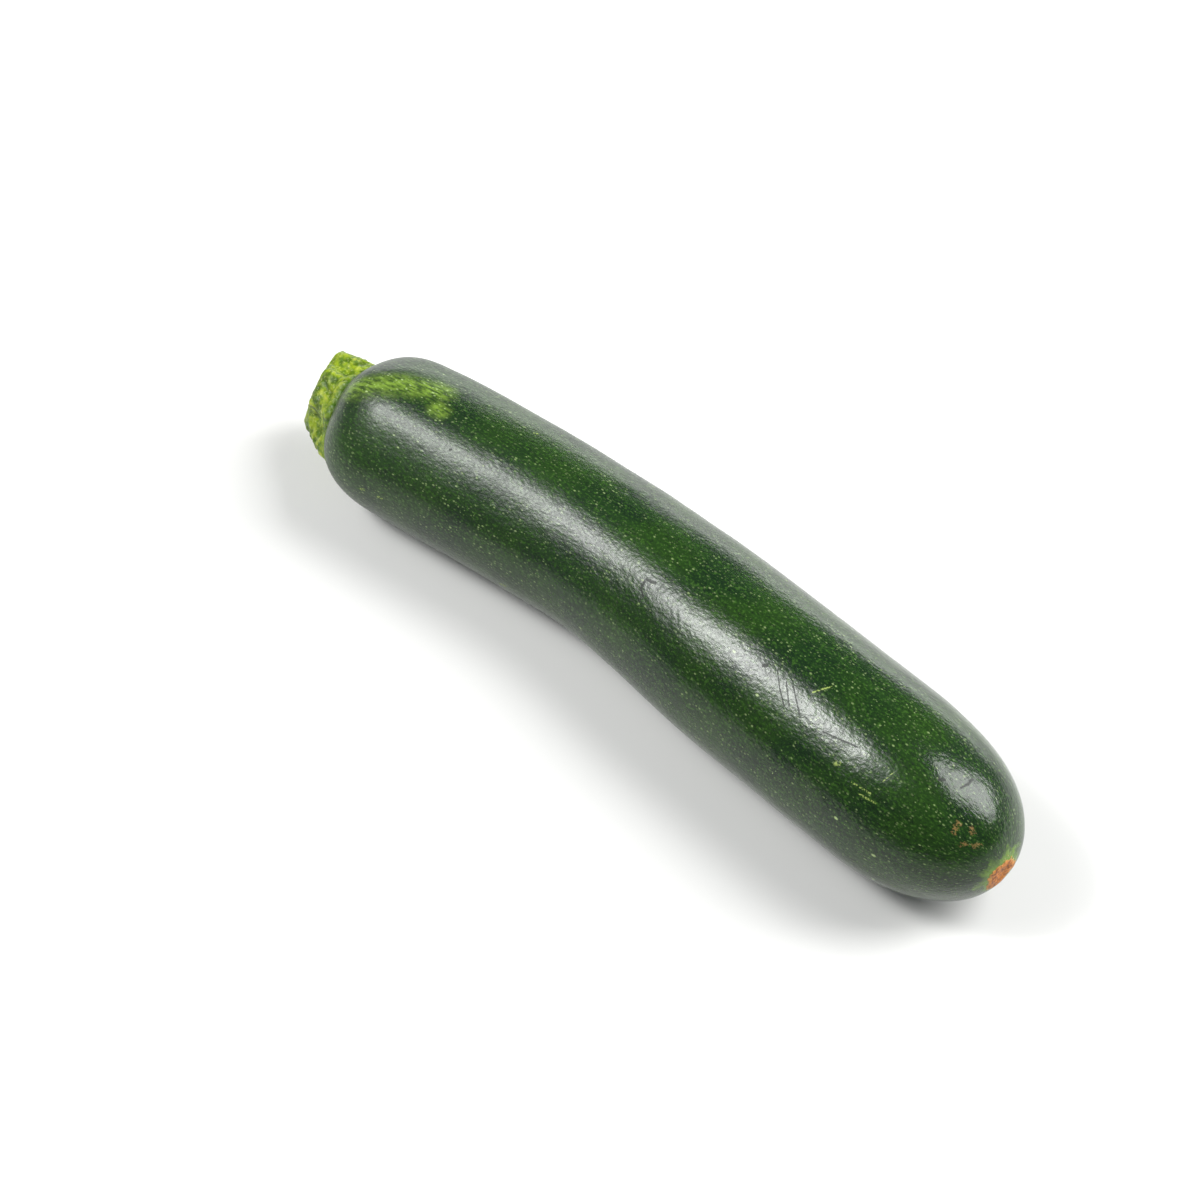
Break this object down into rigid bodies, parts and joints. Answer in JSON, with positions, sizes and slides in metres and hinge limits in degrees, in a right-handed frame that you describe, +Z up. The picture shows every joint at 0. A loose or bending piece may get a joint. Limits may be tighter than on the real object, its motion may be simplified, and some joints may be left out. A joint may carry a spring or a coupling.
{
  "type": "zucchini",
  "caption": "Long dark green zucchini, slightly bent, with a blunt shoulder, a lobed cut stem stub and a corky blossom scar, lying on its side.",
  "frame": {"origin": "on the resting plane, under the middle of the whole part's box", "axes": "+Z up from the surface that it lies on, +X along the fruit from the stem to the blossom end, +Y to the outside of its bend"},
  "size_m": [0.2108, 0.0458, 0.0418],
  "materials": {
    "skin": "satin",
    "stem": "matte"
  },
  "bodies": {
    "root": {"fruit": "skin", "stem": "stem"}
  },
  "joints": []
}
